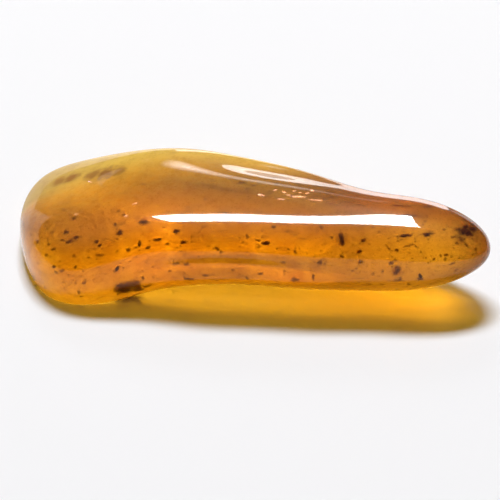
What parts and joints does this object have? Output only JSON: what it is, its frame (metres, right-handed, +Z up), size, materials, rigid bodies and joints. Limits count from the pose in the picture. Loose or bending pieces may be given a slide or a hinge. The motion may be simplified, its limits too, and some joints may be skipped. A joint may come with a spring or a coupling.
{
  "type": "insect in amber",
  "caption": "Polished drop of clear orange amber, wide and low at one end and drawn out to a blunt tip, with a winged midge and a scrap of bark sealed inside.",
  "frame": {"origin": "below the middle of the drop's box, on the surface it rests on", "axes": "+X along the drop from its wide end to its tip, +Y to its broad thin back edge, +Z up"},
  "size_m": [0.045, 0.0214, 0.0089],
  "materials": {
    "amber": "hand-polished clear amber, orange where thick and yellow where thin",
    "cuticle": "dark brown insect cuticle",
    "bark": "decayed dark brown bark and plant dust"
  },
  "bodies": {
    "root": {"amber_front": "amber", "amber_back": "amber", "insect": "cuticle", "bark_scrap": "bark"}
  },
  "joints": []
}
